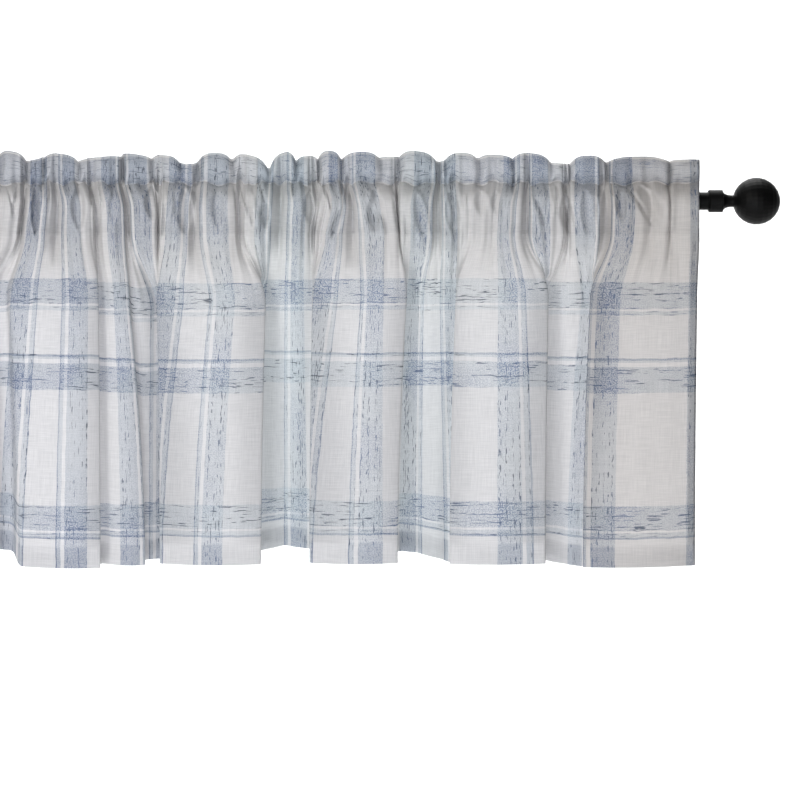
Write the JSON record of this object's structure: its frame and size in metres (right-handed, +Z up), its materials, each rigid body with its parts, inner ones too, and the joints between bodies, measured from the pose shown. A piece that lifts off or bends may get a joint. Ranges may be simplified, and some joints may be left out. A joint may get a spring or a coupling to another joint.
{
  "type": "window valance on curtain rod",
  "caption": "Rod-pocket window valance with a ruffled header, gathered in uneven folds on a round curtain rod with ball finials.",
  "frame": {"origin": "on the rod's axis, midway between the two finials", "axes": "+X along the rod, towards the viewer's right; the cloth's front faces -Y; +Z up"},
  "size_m": [0.8404, 0.0526, 0.3761],
  "materials": {
    "plaid_cloth": "semi-sheer slub plain weave",
    "rod_paint": "matte",
    "finial_paint": "matte"
  },
  "bodies": {
    "root": {"valance_cloth": "plaid_cloth", "rod": "rod_paint", "finial_left": "finial_paint", "finial_right": "finial_paint"}
  },
  "joints": []
}
